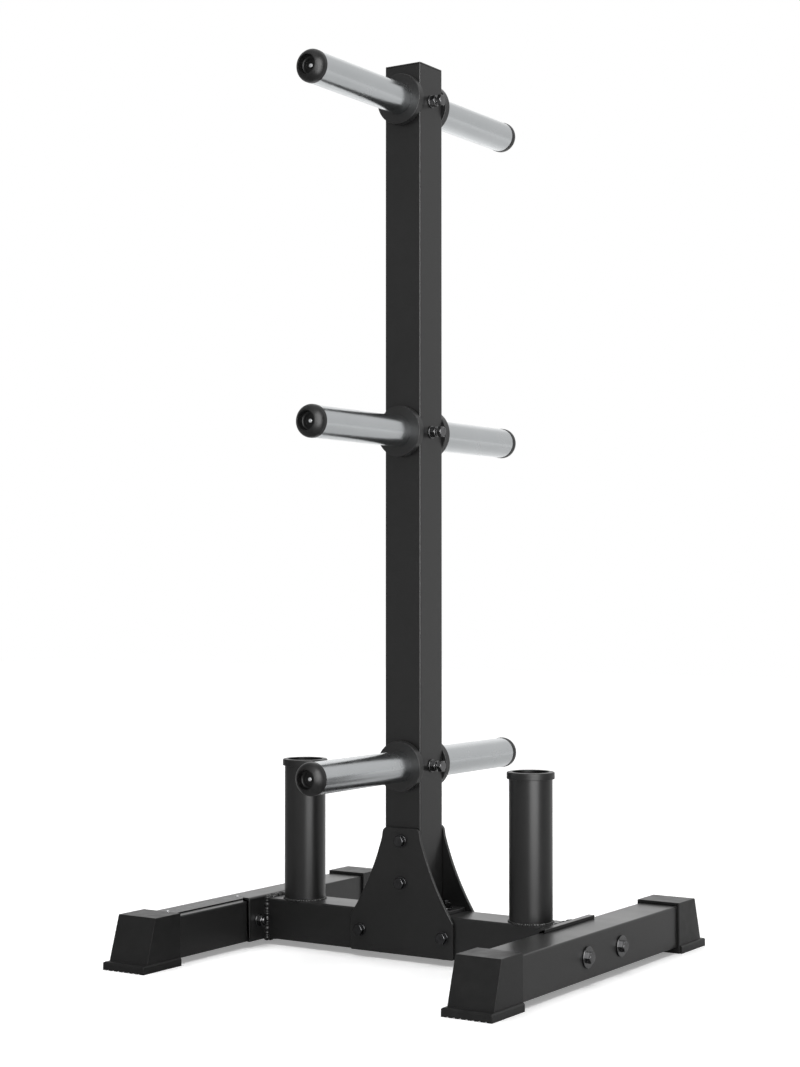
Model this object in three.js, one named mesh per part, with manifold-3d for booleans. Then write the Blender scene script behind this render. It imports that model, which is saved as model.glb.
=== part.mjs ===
// A free-standing plate tree for weight plates, with two bar holders.
// Lengths are in millimetres. X runs to the right along the crossbar, Y runs back and Z runs up.
// The origin is on the floor, under the middle of the upright.
import * as THREE from 'three';
import { mergeVertices } from 'three/addons/utils/BufferGeometryUtils.js';
import Module from 'manifold-3d';

const wasm = await Module();
wasm.setup();

// Clearances
const seatGap = 0.25;
const fitClearance = 0.3;
const boltClearance = 0.5;
const overrun = 5;

// Square tube of the frame
const tubeSide = 65;
const tubeWall = 3;
const tubeCorner = 2;
const tubeInnerCorner = 1;

// Feet, which the sole of each boot holds off the floor
const footSpacing = 600;
const footLength = 590;
const soleThickness = 9.5;

// Upright, with the plate that it stands on and the plug in its top
const uprightLength = 1313;
const footPlateLength = 152;
const footPlateThickness = 5.5;
const footPlateCorner = 6;
const footBoltOffset = 58;
const plugHead = 2.5;
const plugEdge = 1;
const plugSkirtDepth = 18;
const plugSkirtWall = 2.5;

// End plates that join the crossbar to the feet, each bent over the top of its foot
const endPlateThickness = 5;
const endPlateLength = 156;
const endPlateLip = 14;
const endPlateBend = 5;
const endPlateInnerBend = 1.5;
const endBoltOffset = 54;

// Gusset plates that clamp the upright to the crossbar
const gussetThickness = 5;
const gussetWidth = 186.5;
const gussetHeight = 195.5;
const gussetSideHeight = 55.5;
const gussetFlankRadius = 360;
const gussetTopCorner = 6.5;
const gussetBoltDrop = 20;
const gussetBoltSpacing = 65;
const gussetSideBoltOffset = 76;

// Boots on the ends of the feet
const bootGrip = 45;
const bootWall = 3.5;
const bootSideWall = 4.25;
const bootTopLength = 53.5;
const bootBaseLength = 83;
const bootHeelHeight = 14;
const bootDraft = 1;
const bootCorner = 1.5;
const bootEdge = 1;
const skirtHeight = 11;
const skirtEdge = 3;
const skirtReach = 8;
const skirtSide = 2.25;
const skirtSetback = 2;
const skirtCorner = 2.5;
const treadPitch = 10;
const treadDepth = 1.5;
const treadGap = 4;
const treadReach = 7;

// Sleeves for the weight plates, and the bars that carry them through the upright
const lowestSleeve = 300;
const topSleeveDrop = 53.5;
const sleeveDiameter = 48.3;
const sleeveWall = 3.25;
const sleeveReach = 272;
const sleeveChamfer = 0.75;
const coreWall = 3.25;
const coreEndWall = 10;
const collarDiameter = 76.4;
const collarThickness = 12;
const collarEdge = 2;

// End caps and their screws
const capDiameter = 49;
const capRim = 5;
const capLength = 19.5;
const capNoseDiameter = 31.2;
const capRecessDiameter = 29.4;
const capFloor = 7;
const capStep = 0.8;
const capStepDiameter = 18;
const capSpigotLength = 9;
const capScrewDiameter = 5;
const capScrewHead = 8.3;
const capScrewHeadHeight = 2.6;
const capScrewEdge = 1;
const capScrewTip = 12;
const capScrewSocket = 2.5;
const capScrewSocketDepth = 1.5;

// Bar holders
const holderInset = 91;
const holderDiameter = 63.5;
const holderWall = 3;
const holderLength = 223;
const rimDiameter = 70.6;
const rimSkirt = 8.5;
const rimTop = 2;
const rimBore = 56;
const rimEdge = 2;

// Hexagon bolts with their nuts and washers
const boltDiameter = 10;
const hexAcross = 16;
const headHeight = 6.5;
const nutHeight = 8.5;
const hexChamfer = 1;
const washerDiameter = 20;
const washerThickness = 2;
const wideWasherDiameter = 32;
const wideWasherThickness = 2.5;
const threadEnd = 3;
const clampBoltReach = 25.5;

// How finely round shapes are divided
const roundFacets = 20;
const capFacets = 16;
const coreFacets = 16;
const boltFacets = 12;
const threadFacets = 8;
const cornerSteps = 1;
const edgeSteps = 1;
const bendSteps = 2;
const domeSteps = 2;
const flankSteps = 4;

// Places that follow from the sizes
const quarter = Math.PI / 2;
const halfTube = tubeSide / 2;
const innerSide = tubeSide - 2 * tubeWall;
const crossbarTop = soleThickness + tubeSide;
const crossbarAxis = soleThickness + halfTube;
const footX = footSpacing / 2;
const endPlateOuter = footX - halfTube - seatGap;
const endPlateInner = endPlateOuter - endPlateThickness;
const crossbarLength = 2 * (endPlateInner - seatGap);
const footPlateBase = crossbarTop + seatGap;
const footPlateTop = footPlateBase + footPlateThickness;
const uprightBase = footPlateTop + seatGap;
const uprightTop = uprightBase + uprightLength;
const upperGussetBolt = soleThickness + gussetHeight - gussetBoltDrop;
const gussetInner = halfTube + seatGap;
const gussetOuter = gussetInner + gussetThickness;
const bootMouth = footLength / 2 - bootGrip;
const sleeveBore = sleeveDiameter - 2 * sleeveWall;
const coreDiameter = sleeveBore - 2 * fitClearance;
const coreLength = 2 * (sleeveReach - capSpigotLength - seatGap);
const armRoot = halfTube + seatGap;
const boltHole = boltDiameter + 2 * boltClearance;

const levels = ['low', 'middle', 'top'];
const sides = { left: -1, right: 1 };
const ends = { front: -1, back: 1 };

// Finishes
const finishes = {
  paint: { color: 0x222222, roughness: 0.5, metalness: 0.1 },
  collar: { color: 0x1a1a1a, roughness: 0.5, metalness: 0 },
  chrome: { color: 0xb4b7b9, roughness: 0.16, metalness: 1 },
  steel: { color: 0x8a8d8f, roughness: 0.35, metalness: 1 },
  plastic: { color: 0x1c1c1c, roughness: 0.55, metalness: 0 },
  rubber: { color: 0x272727, roughness: 0.7, metalness: 0 },
  fastener: { color: 0x2a2b2d, roughness: 0.3, metalness: 0.8 },
};

// Joining and cutting solids
function solidOf(geometry) {
  const bare = geometry.clone();
  bare.deleteAttribute('normal');
  bare.deleteAttribute('uv');
  const merged = mergeVertices(bare);
  const corners = merged.index.array;
  const kept = [];
  for (let i = 0; i < corners.length; i += 3) {
    const [a, b, c] = corners.slice(i, i + 3);
    if (a !== b && b !== c && c !== a) kept.push(a, b, c);
  }
  const triVerts = new Uint32Array(kept);
  const vertProperties = merged.attributes.position.array;
  return new wasm.Manifold(new wasm.Mesh({ numProp: 3, vertProperties, triVerts }));
}

function geometryOf(solid) {
  const mesh = solid.getMesh();
  const indexed = new THREE.BufferGeometry();
  indexed.setAttribute('position', new THREE.BufferAttribute(mesh.vertProperties, 3));
  indexed.setIndex(new THREE.BufferAttribute(mesh.triVerts, 1));
  const flat = indexed.toNonIndexed();
  flat.computeVertexNormals();
  return flat;
}

function join(...geometries) {
  return geometryOf(geometries.map(solidOf).reduce((whole, next) => whole.add(next)));
}

function subtract(geometry, ...tools) {
  return geometryOf(tools.map(solidOf).reduce((rest, tool) => rest.subtract(tool), solidOf(geometry)));
}

// Basic forms
function roundedRectangle(width, height, radius, centreX = 0, centreY = 0) {
  const x = width / 2 - radius;
  const y = height / 2 - radius;
  const shape = new THREE.Shape();
  shape.absarc(centreX + x, centreY - y, radius, -quarter, 0);
  shape.absarc(centreX + x, centreY + y, radius, 0, quarter);
  shape.absarc(centreX - x, centreY + y, radius, quarter, 2 * quarter);
  shape.absarc(centreX - x, centreY - y, radius, 2 * quarter, 3 * quarter);
  shape.closePath();
  return shape;
}

function circle(diameter, x = 0, y = 0) {
  const arc = new THREE.EllipseCurve(x, y, diameter / 2, diameter / 2);
  return new THREE.Path(arc.getPoints(boltFacets));
}

function extrude(shape, depth, curveSegments = cornerSteps) {
  return new THREE.ExtrudeGeometry(shape, { depth, curveSegments, bevelEnabled: false });
}

// A square tube along Z, standing on the XY plane
function squareTube(length) {
  const outline = roundedRectangle(tubeSide, tubeSide, tubeCorner);
  outline.holes.push(roundedRectangle(innerSide, innerSide, tubeInnerCorner));
  return extrude(outline, length);
}

// Turns a closed profile of radius and height about the Y axis
function revolve(profile, facets, steps = edgeSteps) {
  const points = profile.getPoints(steps);
  const start = points[0];
  const end = points[points.length - 1];
  if (start.x > 0 && !end.equals(start)) points.push(start.clone());
  return new THREE.LatheGeometry(points, facets);
}

// A plain cylinder on the Y axis, from one height to another
function rod(diameter, from, to, facets = boltFacets) {
  return new THREE.CylinderGeometry(diameter / 2, diameter / 2, to - from, facets)
    .translate(0, (from + to) / 2, 0);
}

// A closed skin over a stack of outlines that all have as many points
function loft(layers) {
  const count = layers[0].outline.length;
  const position = layers.flatMap(({ outline, z }) => outline.flatMap((point) => [point.x, point.y, z]));
  const index = [];
  for (let layer = 0; layer < layers.length - 1; layer++) {
    for (let i = 0; i < count; i++) {
      const low = layer * count + i;
      const lowNext = layer * count + ((i + 1) % count);
      index.push(low, lowNext, lowNext + count, low, lowNext + count, low + count);
    }
  }
  const last = (layers.length - 1) * count;
  for (const [a, b, c] of THREE.ShapeUtils.triangulateShape(layers[0].outline, [])) index.push(c, b, a);
  for (const [a, b, c] of THREE.ShapeUtils.triangulateShape(layers.at(-1).outline, [])) {
    index.push(last + a, last + b, last + c);
  }
  const geometry = new THREE.BufferGeometry();
  geometry.setAttribute('position', new THREE.Float32BufferAttribute(position, 3));
  geometry.setIndex(index);
  return geometry;
}

// Fasteners, on the Y axis
function hexagon(from, to) {
  const corner = hexAcross / 2 / Math.cos(Math.PI / 6);
  const profile = new THREE.Path();
  profile.moveTo(0, from);
  profile.lineTo(corner - hexChamfer, from);
  profile.lineTo(corner, from + hexChamfer);
  profile.lineTo(corner, to - hexChamfer);
  profile.lineTo(corner - hexChamfer, to);
  profile.lineTo(0, to);
  return revolve(profile, 6);
}

function shank(from, to) {
  const tip = boltDiameter / 2 - hexChamfer;
  const profile = new THREE.Path();
  profile.moveTo(0, from);
  profile.lineTo(tip, from);
  profile.lineTo(boltDiameter / 2, from + hexChamfer);
  profile.lineTo(boltDiameter / 2, to);
  profile.lineTo(0, to);
  return revolve(profile, threadFacets);
}

// A bolt through a stack of the given thickness, with its head above it and its nut below
function throughBolt(grip, { headWasher, nutWasher }) {
  const headSeat = grip / 2 + seatGap;
  const headBase = headSeat + headWasher.thickness;
  const nutSeat = -grip / 2 - seatGap;
  const nutBase = nutSeat - nutWasher.thickness;
  const parts = [
    shank(nutBase - nutHeight - threadEnd, headBase + hexChamfer),
    hexagon(headBase, headBase + headHeight),
    hexagon(nutBase - nutHeight, nutBase),
  ];
  if (headWasher.thickness > 0) parts.push(rod(headWasher.diameter, headSeat, headBase, boltFacets));
  if (nutWasher.thickness > 0) parts.push(rod(nutWasher.diameter, nutBase, nutSeat, boltFacets));
  return join(...parts);
}

const washer = { diameter: washerDiameter, thickness: washerThickness };
const wideWasher = { diameter: wideWasherDiameter, thickness: wideWasherThickness };
const noWasher = { diameter: 0, thickness: 0 };

// Putting the pieces in place
const tree = new THREE.Group();

function add(name, geometry, finish, parent = tree) {
  const mesh = new THREE.Mesh(geometry, new THREE.MeshStandardMaterial(finishes[finish]));
  mesh.name = name;
  parent.add(mesh);
  return mesh;
}

// Bores for bolts and bars, along each axis
function boreX(diameter, from, to, y, z) {
  return rod(diameter, from, to).rotateZ(-quarter).translate(0, y, z);
}

function boreY(diameter, x, z, facets = boltFacets) {
  return rod(diameter, -halfTube - overrun, halfTube + overrun, facets).translate(x, 0, z);
}

function boreZ(diameter, from, to, x, y) {
  return rod(diameter, from, to).rotateX(quarter).translate(x, y, 0);
}

const sleeveRise = (uprightTop - topSleeveDrop - lowestSleeve) / (levels.length - 1);
const sleeveHeights = levels.map((level, step) => lowestSleeve + step * sleeveRise);
const gussetBolts = {
  upper: { x: 0, z: upperGussetBolt },
  lower: { x: 0, z: upperGussetBolt - gussetBoltSpacing },
  left: { x: -gussetSideBoltOffset, z: crossbarAxis },
  right: { x: gussetSideBoltOffset, z: crossbarAxis },
};

// Upright tube, with its bores for the bars, the clamp bolts and the gusset bolts
const uprightBores = sleeveHeights.flatMap((height) => [
  boreY(coreDiameter + 2 * fitClearance, 0, height, coreFacets),
  boreX(boltHole, 0, halfTube + overrun, 0, height),
]);
for (const { x, z } of [gussetBolts.upper, gussetBolts.lower]) uprightBores.push(boreY(boltHole, x, z));
const upright = squareTube(uprightLength).translate(0, 0, uprightBase);
add('upright_tube', subtract(upright, ...uprightBores), 'paint');

// Plate under the upright
const footPlate = roundedRectangle(footPlateLength, tubeSide - 2 * seatGap, footPlateCorner);
for (const side of Object.values(sides)) footPlate.holes.push(circle(boltHole, side * footBoltOffset));
add('upright_foot_plate', extrude(footPlate, footPlateThickness), 'paint').position.z = footPlateBase;

// Plug in the top of the upright: a flush head with a hollow skirt under it
function topPlug() {
  const skirtSide = innerSide - 2 * fitClearance;
  const skirt = roundedRectangle(skirtSide, skirtSide, tubeInnerCorner);
  const hollow = skirtSide - 2 * plugSkirtWall;
  skirt.holes.push(roundedRectangle(hollow, hollow, tubeInnerCorner));
  const outline = (inset) => roundedRectangle(tubeSide - 2 * inset, tubeSide - 2 * inset, tubeCorner - inset)
    .getPoints(cornerSteps).slice(1);
  const head = loft([
    { outline: outline(0), z: 0 },
    { outline: outline(0), z: plugHead - plugEdge },
    { outline: outline(plugEdge), z: plugHead },
  ]);
  return join(head, extrude(skirt, plugSkirtDepth + plugEdge).translate(0, 0, -plugSkirtDepth));
}
add('upright_top_plug', topPlug(), 'plastic').position.z = uprightTop + seatGap;

// Crossbar, bored for the gusset bolts and the bolts of the foot plate
const crossbarBores = [gussetBolts.left, gussetBolts.right].map(({ x, z }) => boreY(boltHole, x, z));
for (const side of Object.values(sides)) {
  const x = side * footBoltOffset;
  crossbarBores.push(boreZ(boltHole, soleThickness - overrun, crossbarTop + overrun, x, 0));
}
const crossbar = squareTube(crossbarLength).rotateY(quarter).translate(-crossbarLength / 2, 0, crossbarAxis);
add('crossbar_tube', subtract(crossbar, ...crossbarBores), 'paint');

// Gusset plates: a wide foot on the crossbar, hollow flanks and a neck as wide as the upright
function gussetPlate() {
  const foot = new THREE.Vector2(gussetWidth / 2, gussetSideHeight);
  const neck = new THREE.Vector2(halfTube, gussetHeight - gussetTopCorner);
  const chord = neck.clone().sub(foot);
  const drop = Math.sqrt(gussetFlankRadius ** 2 - chord.lengthSq() / 4);
  const away = new THREE.Vector2(chord.y, -chord.x).setLength(drop);
  const centre = foot.clone().add(neck).divideScalar(2).add(away);
  const angleTo = (point) => Math.atan2(point.y - centre.y, point.x - centre.x);
  const outline = new THREE.Shape();
  outline.moveTo(-foot.x, 0);
  outline.lineTo(foot.x, 0);
  outline.lineTo(foot.x, foot.y);
  outline.absarc(centre.x, centre.y, gussetFlankRadius, angleTo(foot), angleTo(neck), true);
  outline.quadraticCurveTo(halfTube, gussetHeight, halfTube - gussetTopCorner, gussetHeight);
  outline.lineTo(gussetTopCorner - halfTube, gussetHeight);
  outline.quadraticCurveTo(-halfTube, gussetHeight, -neck.x, neck.y);
  const mirrored = (point) => Math.PI - angleTo(point);
  outline.absarc(-centre.x, centre.y, gussetFlankRadius, mirrored(neck), mirrored(foot), true);
  outline.closePath();
  for (const { x, z } of Object.values(gussetBolts)) {
    outline.holes.push(circle(boltHole, x, z - soleThickness));
  }
  return extrude(outline, gussetThickness, flankSteps).rotateX(quarter);
}
for (const [end, sign] of Object.entries(ends)) {
  const back = sign > 0 ? gussetOuter : -gussetInner;
  add('gusset_plate_' + end, gussetPlate(), 'paint').position.set(0, back, soleThickness);
}

// Bolts through the gussets, with their heads in front
for (const [name, { x, z }] of Object.entries(gussetBolts)) {
  const bolt = throughBolt(2 * gussetOuter, { headWasher: washer, nutWasher: washer });
  const mesh = add('gusset_bolt_' + name, bolt, 'fastener');
  mesh.position.set(x, 0, z);
  mesh.rotation.z = Math.PI;
}

// Bolts that hold the foot plate down, with their nuts on top
for (const [side, sign] of Object.entries(sides)) {
  const grip = footPlateTop - soleThickness;
  const bolt = throughBolt(grip, { headWasher: noWasher, nutWasher: washer });
  const mesh = add('foot_plate_bolt_' + side, bolt, 'fastener');
  mesh.position.set(sign * footBoltOffset, 0, soleThickness + grip / 2);
  mesh.rotation.x = -quarter;
}

// Feet with their end plates, bolts and boots
const endBolts = Object.values(ends).map((sign) => sign * endBoltOffset);

// An angle along Y: a leg beside the foot and a lip over it, standing on the XY plane
function endPlate() {
  const lipBase = tubeSide + seatGap;
  const top = lipBase + endPlateThickness;
  const bendCentre = endPlateThickness + endPlateInnerBend;
  const profile = new THREE.Shape();
  profile.moveTo(0, 0);
  profile.lineTo(endPlateThickness, 0);
  profile.lineTo(endPlateThickness, lipBase - endPlateInnerBend);
  profile.absarc(bendCentre, lipBase - endPlateInnerBend, endPlateInnerBend, 2 * quarter, quarter, true);
  profile.lineTo(endPlateLip, lipBase);
  profile.lineTo(endPlateLip, top);
  profile.lineTo(endPlateBend, top);
  profile.absarc(endPlateBend, top - endPlateBend, endPlateBend, quarter, 2 * quarter);
  profile.closePath();
  const angle = extrude(profile, endPlateLength, bendSteps).rotateX(quarter)
    .translate(0, endPlateLength / 2, 0);
  const height = crossbarAxis - soleThickness;
  const bores = endBolts.map((y) => boreX(boltHole, -overrun, endPlateThickness + overrun, y, height));
  return subtract(angle, ...bores);
}

// One outline of a boot, from its heel to its toe
function bootOutline(halfWidth, heel, toe, corner) {
  const shape = roundedRectangle(2 * halfWidth, toe - heel, corner, 0, (heel + toe) / 2);
  return shape.getPoints(cornerSteps).slice(1);
}

// A boot stands on the XY plane with its mouth at Y zero and its toe towards +Y
function footBoot() {
  const topHalf = halfTube + bootSideWall;
  const baseHalf = topHalf + bootDraft;
  const height = crossbarTop + bootWall;
  const slope = (bootBaseLength - bootTopLength) / (height - bootHeelHeight);
  const layer = (halfWidth, heel, toe, z) => ({ outline: bootOutline(halfWidth, heel, toe, bootCorner), z });
  const body = loft([
    layer(baseHalf, 0, bootBaseLength, 0),
    layer(baseHalf, 0, bootBaseLength, bootHeelHeight),
    layer(topHalf, 0, bootTopLength + slope * bootEdge, height - bootEdge),
    layer(topHalf - bootEdge, 0, bootTopLength - bootEdge, height),
  ]);
  const skirtHalf = baseHalf + skirtSide;
  const skirtToe = bootBaseLength + skirtReach;
  const skirtLayer = (inset, z) => ({
    outline: bootOutline(skirtHalf - inset, skirtSetback + inset, skirtToe - inset, skirtCorner),
    z,
  });
  const skirt = loft([
    skirtLayer(0, 0),
    skirtLayer(0, skirtHeight - skirtEdge),
    skirtLayer(skirtEdge, skirtHeight),
  ]);
  const pocketSide = tubeSide + 2 * fitClearance;
  const pocketOutline = roundedRectangle(pocketSide, pocketSide, tubeCorner);
  const pocket = extrude(pocketOutline, overrun + bootGrip + fitClearance)
    .rotateX(-quarter)
    .translate(0, -overrun, crossbarAxis);
  const grooves = [];
  const treadHalf = Math.floor((skirtHalf - skirtCorner) / treadPitch);
  for (let i = -treadHalf; i <= treadHalf; i++) {
    const groove = new THREE.BoxGeometry(treadGap, treadReach + overrun, treadDepth + overrun);
    groove.translate(i * treadPitch, skirtToe + (overrun - treadReach) / 2, (treadDepth - overrun) / 2);
    grooves.push(groove);
  }
  return subtract(join(body, skirt), pocket, ...grooves);
}

for (const [side, sign] of Object.entries(sides)) {
  const foot = new THREE.Group();
  foot.position.x = sign * footX;
  foot.rotation.z = sign > 0 ? 0 : Math.PI;
  tree.add(foot);

  const tube = squareTube(footLength).rotateX(quarter).translate(0, footLength / 2, crossbarAxis);
  const boreEnd = halfTube + overrun;
  const bores = endBolts.map((y) => boreX(boltHole, -boreEnd, boreEnd, y, crossbarAxis));
  add('foot_tube_' + side, subtract(tube, ...bores), 'paint', foot);

  const plate = add('end_plate_' + side, endPlate(), 'paint', foot);
  plate.position.set(endPlateInner - footX, 0, soleThickness);

  for (const [end, endSign] of Object.entries(ends)) {
    const worldEnd = sign * endSign;
    const grip = halfTube + footX - endPlateInner;
    const bolt = add(
      'foot_bolt_' + side + '_' + end,
      throughBolt(grip, { headWasher: wideWasher, nutWasher: washer }),
      'fastener',
      foot,
    );
    bolt.position.set(halfTube - grip / 2, worldEnd * endBoltOffset, crossbarAxis);
    bolt.rotation.z = -quarter;

    const boot = add('foot_boot_' + side + '_' + end, footBoot(), 'rubber', foot);
    boot.position.y = worldEnd * bootMouth;
    boot.rotation.z = worldEnd > 0 ? 0 : Math.PI;
  }
}

// Bars through the upright: pipes with a tapped wall in each end
function coreBar() {
  const radius = coreDiameter / 2;
  const bore = radius - coreWall;
  const tapped = capScrewDiameter / 2 + fitClearance;
  const half = coreLength / 2;
  const profile = new THREE.Path();
  profile.moveTo(tapped, -half);
  profile.lineTo(radius, -half);
  profile.lineTo(radius, half);
  profile.lineTo(tapped, half);
  profile.lineTo(tapped, half - coreEndWall);
  profile.lineTo(bore, half - coreEndWall);
  profile.lineTo(bore, coreEndWall - half);
  profile.lineTo(tapped, coreEndWall - half);
  profile.lineTo(tapped, -half);
  return subtract(revolve(profile, coreFacets), boreX(boltHole, 0, radius + overrun, 0, 0));
}

// Clamp bolts, turned through the side of the upright into the bars and locked by a nut
function clampBolt() {
  const washerBase = halfTube + seatGap;
  const nutBase = washerBase + washerThickness;
  const headFace = halfTube + clampBoltReach;
  const tip = coreDiameter / 2 - coreWall;
  return join(
    shank(tip, headFace - headHeight + hexChamfer),
    rod(washerDiameter, washerBase, nutBase, boltFacets),
    hexagon(nutBase, nutBase + nutHeight),
    hexagon(headFace - headHeight, headFace),
  );
}

function collar() {
  const radius = collarDiameter / 2;
  const bore = sleeveDiameter / 2 + fitClearance;
  const profile = new THREE.Path();
  profile.moveTo(bore, 0);
  profile.lineTo(radius, 0);
  profile.lineTo(radius, collarThickness - collarEdge);
  profile.absarc(radius - collarEdge, collarThickness - collarEdge, collarEdge, 0, quarter);
  profile.lineTo(bore, collarThickness);
  profile.lineTo(bore, 0);
  return revolve(profile, roundFacets);
}

function sleeve() {
  const radius = sleeveDiameter / 2;
  const length = sleeveReach - armRoot;
  const profile = new THREE.Path();
  profile.moveTo(sleeveBore / 2, 0);
  profile.lineTo(radius, 0);
  profile.lineTo(radius, length - sleeveChamfer);
  profile.lineTo(radius - sleeveChamfer, length);
  profile.lineTo(sleeveBore / 2, length);
  profile.lineTo(sleeveBore / 2, 0);
  return revolve(profile, roundFacets);
}

// End caps: a spigot in the sleeve, a domed flange, and a recess with the screw at its bottom
function endCap() {
  const radius = capDiameter / 2;
  const nose = capNoseDiameter / 2;
  const spigot = coreDiameter / 2;
  const hole = capScrewDiameter / 2 + fitClearance;
  const profile = new THREE.Path();
  profile.moveTo(hole, -capSpigotLength);
  profile.lineTo(spigot, -capSpigotLength);
  profile.lineTo(spigot, 0);
  profile.lineTo(radius, 0);
  profile.lineTo(radius, capRim);
  profile.absellipse(nose, capRim, radius - nose, capLength - capRim, 0, quarter);
  profile.lineTo(capRecessDiameter / 2, capLength);
  profile.lineTo(capRecessDiameter / 2, capFloor);
  profile.lineTo(capStepDiameter / 2, capFloor);
  profile.lineTo(capStepDiameter / 2, capFloor - capStep);
  profile.lineTo(hole, capFloor - capStep);
  profile.lineTo(hole, -capSpigotLength);
  return revolve(profile, capFacets, domeSteps);
}

// Pan-head screws with a hexagon socket
function capScrew() {
  const radius = capScrewHead / 2;
  const seat = capFloor - capStep + seatGap;
  const face = seat + capScrewHeadHeight;
  const profile = new THREE.Path();
  profile.moveTo(0, -capSpigotLength - capScrewTip);
  profile.lineTo(capScrewDiameter / 2, -capSpigotLength - capScrewTip);
  profile.lineTo(capScrewDiameter / 2, seat);
  profile.lineTo(radius, seat);
  profile.lineTo(radius, face - capScrewEdge);
  profile.lineTo(radius - capScrewEdge, face);
  profile.lineTo(0, face);
  const socket = rod(capScrewSocket, face - capScrewSocketDepth, face + overrun, 6);
  return subtract(revolve(profile, boltFacets), socket);
}

for (const [step, level] of levels.entries()) {
  const storey = new THREE.Group();
  storey.position.z = sleeveHeights[step];
  tree.add(storey);
  add('core_bar_' + level, coreBar(), 'steel', storey);
  add('clamp_bolt_' + level, clampBolt(), 'fastener', storey).rotation.z = -quarter;

  for (const [end, sign] of Object.entries(ends)) {
    const arm = new THREE.Group();
    arm.rotation.z = sign > 0 ? 0 : Math.PI;
    storey.add(arm);
    const place = level + '_' + end;
    add('collar_' + place, collar(), 'collar', arm).position.y = armRoot;
    add('sleeve_' + place, sleeve(), 'chrome', arm).position.y = armRoot;
    add('end_cap_' + place, endCap(), 'plastic', arm).position.y = sleeveReach + seatGap;
    add('cap_screw_' + place, capScrew(), 'steel', arm).position.y = sleeveReach + seatGap;
  }
}

// Bar holders on the crossbar, with a moulded rim on each
function holderTube() {
  const radius = holderDiameter / 2;
  const profile = new THREE.Path();
  profile.moveTo(radius - holderWall, 0);
  profile.lineTo(radius, 0);
  profile.lineTo(radius, holderLength);
  profile.lineTo(radius - holderWall, holderLength);
  profile.lineTo(radius - holderWall, 0);
  return revolve(profile, roundFacets).rotateX(quarter);
}

function holderRim() {
  const radius = rimDiameter / 2;
  const grip = holderDiameter / 2 + fitClearance;
  const bore = rimBore / 2;
  const profile = new THREE.Path();
  profile.moveTo(grip, -rimSkirt);
  profile.lineTo(radius, -rimSkirt);
  profile.lineTo(radius, rimTop - rimEdge);
  profile.absarc(radius - rimEdge, rimTop - rimEdge, rimEdge, 0, quarter);
  profile.lineTo(bore + rimEdge / 2, rimTop);
  profile.lineTo(bore, rimTop - rimEdge / 2);
  profile.lineTo(bore, seatGap);
  profile.lineTo(grip, seatGap);
  profile.lineTo(grip, -rimSkirt);
  return revolve(profile, roundFacets).rotateX(quarter);
}

for (const [side, sign] of Object.entries(sides)) {
  const holder = new THREE.Group();
  holder.position.set(sign * (footX - holderInset), 0, crossbarTop + seatGap);
  tree.add(holder);
  add('holder_tube_' + side, holderTube(), 'paint', holder);
  add('holder_rim_' + side, holderRim(), 'plastic', holder).position.z = holderLength;
}

export default tree;
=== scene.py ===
"""A plate tree: the fine surfaces, finishes and light of the stand, laid on the frame of its solids.

Lengths are in millimetres until a mesh is made. X runs along the crossbar, Y along the feet and sleeves.
"""
import math

import bpy
import numpy as np
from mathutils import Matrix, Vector


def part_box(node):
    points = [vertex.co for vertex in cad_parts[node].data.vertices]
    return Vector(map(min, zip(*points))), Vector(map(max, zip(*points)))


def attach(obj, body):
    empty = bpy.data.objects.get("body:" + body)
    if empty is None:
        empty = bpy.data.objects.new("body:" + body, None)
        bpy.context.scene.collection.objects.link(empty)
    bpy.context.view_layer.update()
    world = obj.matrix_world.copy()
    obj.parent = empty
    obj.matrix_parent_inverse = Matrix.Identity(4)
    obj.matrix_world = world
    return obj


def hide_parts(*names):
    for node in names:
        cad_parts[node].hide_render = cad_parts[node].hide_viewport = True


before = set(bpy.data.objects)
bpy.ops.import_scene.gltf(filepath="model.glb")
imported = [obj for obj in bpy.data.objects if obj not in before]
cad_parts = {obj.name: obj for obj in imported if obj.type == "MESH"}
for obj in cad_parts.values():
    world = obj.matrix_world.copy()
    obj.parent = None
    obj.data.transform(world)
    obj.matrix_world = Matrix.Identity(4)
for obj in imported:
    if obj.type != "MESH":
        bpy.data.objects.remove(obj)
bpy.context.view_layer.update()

METRES = 0.001
SEAT = 0.25
SMOOTH_ANGLE = math.radians(38)
SIDES = {"left": -1, "right": 1}
ENDS = {"front": -1, "back": 1}
LEVELS = ("low", "middle", "top")

# Camera at the photograph's place and angle
camera_data = bpy.data.cameras.new("camera")
camera_data.sensor_width = 36
camera_data.lens = 66.879
camera = bpy.data.objects.new("camera", camera_data)
camera.location = (1.67304, -2.6244, 0.58099)
camera.rotation_euler = (math.radians(91.491), 0, math.radians(32.917))
bpy.context.scene.collection.objects.link(camera)
bpy.context.scene.camera = camera
bpy.context.scene.view_settings.view_transform = "Standard"


# Outlines and profiles
def unit(vectors):
    """Each vector divided by its length."""
    return vectors / np.linalg.norm(vectors, axis=-1, keepdims=True)


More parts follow.
